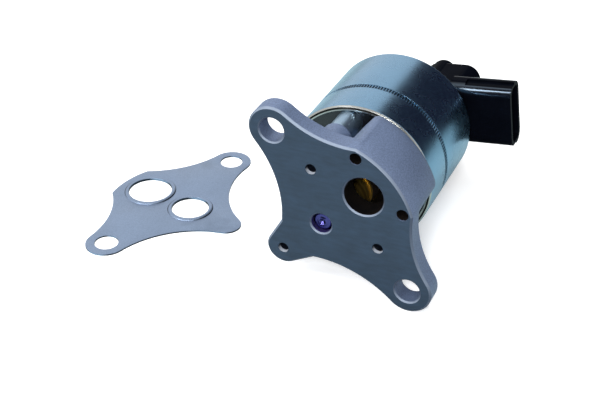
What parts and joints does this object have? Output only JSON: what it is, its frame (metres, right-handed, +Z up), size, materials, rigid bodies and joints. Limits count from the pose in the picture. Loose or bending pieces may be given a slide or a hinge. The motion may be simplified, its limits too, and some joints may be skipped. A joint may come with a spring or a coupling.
{
  "type": "egr valve",
  "caption": "Solenoid exhaust gas recirculation valve lying on its side: two-bolt ported flange, cast body, plated can, plastic connector cap, with a separate flat embossed gasket.",
  "frame": {"origin": "middle of the mounting face, half way between the two bolt holes; the valve lies on its side on its can and one flange ear", "axes": "+Y from the mounting face along the valve spindle, +X to the side the connector points to, +Z up from the surface it lies on"},
  "size_m": [0.1435, 0.1254, 0.0692],
  "materials": {
    "casting": "tumbled casting with a ground dark slate face",
    "plated_steel": "bright blue zinc plate",
    "bare_steel": "turned",
    "spring_steel": "drawn wire",
    "bronze": "turned bearing bronze",
    "sleeve_brass": "drawn tube",
    "copper": null,
    "contact_bronze": "stamped strip",
    "bobbin_nylon": "moulded",
    "cap_nylon": "moulded, satin black",
    "sensor_nylon": "moulded, natural",
    "board": "printed resistive film",
    "seal_rubber": "moulded",
    "gasket_steel": "embossed thin sheet"
  },
  "bodies": {
    "valve_body": {"base_housing": "casting", "valve_seat": "bare_steel", "stem_bushing": "bronze", "spacer_posts": "plated_steel", "housing_screws": "plated_steel", "base_plate": "plated_steel", "solenoid_can": "plated_steel", "lower_pole": "bare_steel", "upper_pole": "bare_steel", "armature_sleeve": "sleeve_brass", "return_spring": "spring_steel", "coil_bobbin": "bobbin_nylon", "coil_winding": "copper", "top_plate": "plated_steel", "sensor_cap": "cap_nylon", "terminals": "contact_bronze", "cap_seal": "seal_rubber", "sensor_retainer": "sensor_nylon", "track_board": "board", "sensor_spring": "spring_steel", "flange_gasket": "gasket_steel"},
    "pintle_body": {"pintle": "bare_steel", "gas_shield": "bare_steel", "armature": "bare_steel"},
    "plunger_body": {"sensor_plunger": "sensor_nylon", "wiper_contacts": "contact_bronze"}
  },
  "joints": [
    {"name": "pintle_lift", "type": "slide", "parent": "valve_body", "child": "pintle_body", "axis": [0, 1, 0], "range_m": [0, 0.0045], "stiffness_N_per_m": 7100, "springref_m": -0.0021, "deforming": ["return_spring"]},
    {"name": "plunger_lift", "type": "slide", "parent": "valve_body", "child": "plunger_body", "axis": [0, 1, 0], "range_m": [0, 0.0045], "stiffness_N_per_m": 1900, "springref_m": -0.001, "deforming": ["sensor_spring"]}
  ],
  "couplings": [
    {"joint": "plunger_lift", "follows": "pintle_lift", "ratio": 1}
  ]
}
